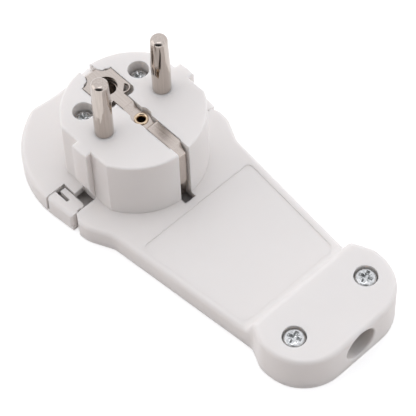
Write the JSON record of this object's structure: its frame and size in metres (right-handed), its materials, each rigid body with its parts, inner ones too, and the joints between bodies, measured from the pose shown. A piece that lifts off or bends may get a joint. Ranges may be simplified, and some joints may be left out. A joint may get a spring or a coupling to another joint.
{
  "type": "type f plug",
  "caption": "Flat type F mains plug with a round nose, two contact pins, an earth strap, a broad grip handle and a raised cord clamp block at its end.",
  "frame": {"origin": "on the flat back, under the axis of the round nose", "axes": "+X along the handle to the cord inlet, +Y along the row of pins, +Z out along the pins"},
  "size_m": [0.1073, 0.0502, 0.0436],
  "materials": {
    "white_plastic": "fine satin",
    "inner_plastic": "plain",
    "nickel": "nickel plated",
    "brass": "drawn",
    "zinc_steel": "zinc plated"
  },
  "bodies": {
    "root": {"front_housing": "white_plastic", "back_plate": "white_plastic", "contact_carrier": "inner_plastic", "nose_cover": "inner_plastic", "cord_clamp": "inner_plastic", "pin_left": "nickel", "pin_right": "nickel", "earth_strap": "nickel", "earth_socket": "nickel", "earth_eyelet": "brass", "earth_terminal": "brass", "terminal_left": "brass", "terminal_right": "brass", "earth_terminal_screw": "zinc_steel", "terminal_screw_left": "zinc_steel", "terminal_screw_right": "zinc_steel", "nose_screw_left": "zinc_steel", "nose_screw_right": "zinc_steel", "nose_nut_left": "zinc_steel", "nose_nut_right": "zinc_steel", "block_screw_left": "zinc_steel", "block_screw_right": "zinc_steel", "block_nut_left": "zinc_steel", "block_nut_right": "zinc_steel"}
  },
  "joints": []
}
